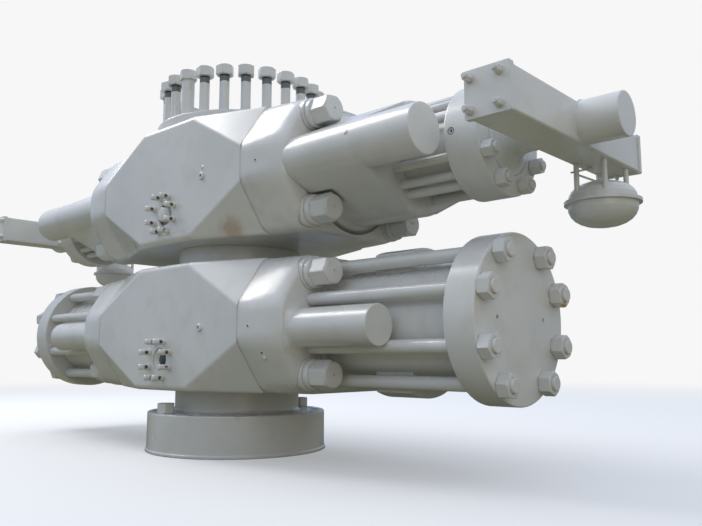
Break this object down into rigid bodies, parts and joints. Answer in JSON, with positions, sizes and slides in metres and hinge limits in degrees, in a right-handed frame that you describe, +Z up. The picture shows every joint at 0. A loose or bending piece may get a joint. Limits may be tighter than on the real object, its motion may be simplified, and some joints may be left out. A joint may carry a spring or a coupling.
{
  "type": "double ram blowout preventer",
  "caption": "Wellhead valve stack: twin ram bodies on one flanged bore, with bonnets, operating cylinders, tie rods and lock beams across the upper rams.",
  "frame": {"origin": "centre of the bottom flange's face, on the ground", "axes": "+X along the rams, towards the right-hand bonnets; +Z up the bore; +Y to the rear"},
  "size_m": [4.824, 1.312, 2.182],
  "materials": {
    "white_paint": "gloss off-white enamel brushed over steel forgings, with a little rust",
    "bare_steel": "dark bare stud steel below the nuts"
  },
  "bodies": {
    "root": {"base_flange": "white_paint", "base_nuts": "white_paint", "lower_neck": "white_paint", "lower_body": "white_paint", "middle_neck": "white_paint", "upper_body": "white_paint", "outlet_studs": "white_paint", "top_studs": "bare_steel", "top_nuts": "white_paint", "stud_sleeve": "white_paint", "lower_right_bonnet": "white_paint", "lower_right_bonnet_bolts": "white_paint", "lower_right_change_cylinders": "white_paint", "lower_right_operating_cylinder": "white_paint", "lower_right_tie_rods": "white_paint", "lower_right_end_flange": "white_paint", "lower_right_end_nuts": "white_paint", "lower_left_bonnet": "white_paint", "lower_left_bonnet_bolts": "white_paint", "lower_left_change_cylinders": "white_paint", "lower_left_operating_cylinder": "white_paint", "lower_left_tie_rods": "white_paint", "lower_left_end_flange": "white_paint", "lower_left_end_nuts": "white_paint", "upper_right_bonnet": "white_paint", "upper_right_bonnet_bolts": "white_paint", "upper_right_change_cylinders": "white_paint", "upper_right_shoulder": "white_paint", "upper_right_operating_cylinder": "white_paint", "upper_right_tie_rods": "white_paint", "upper_right_end_flange": "white_paint", "upper_right_end_nuts": "white_paint", "upper_left_bonnet": "white_paint", "upper_left_bonnet_bolts": "white_paint", "upper_left_change_cylinders": "white_paint", "upper_left_shoulder": "white_paint", "upper_left_operating_cylinder": "white_paint", "upper_left_tie_rods": "white_paint", "upper_left_end_flange": "white_paint", "upper_left_end_nuts": "white_paint", "right_lock_beam": "white_paint", "right_lock_housing": "white_paint", "right_pot": "white_paint", "left_lock_beam": "white_paint", "left_lock_housing": "white_paint", "left_pot": "white_paint"}
  },
  "joints": []
}
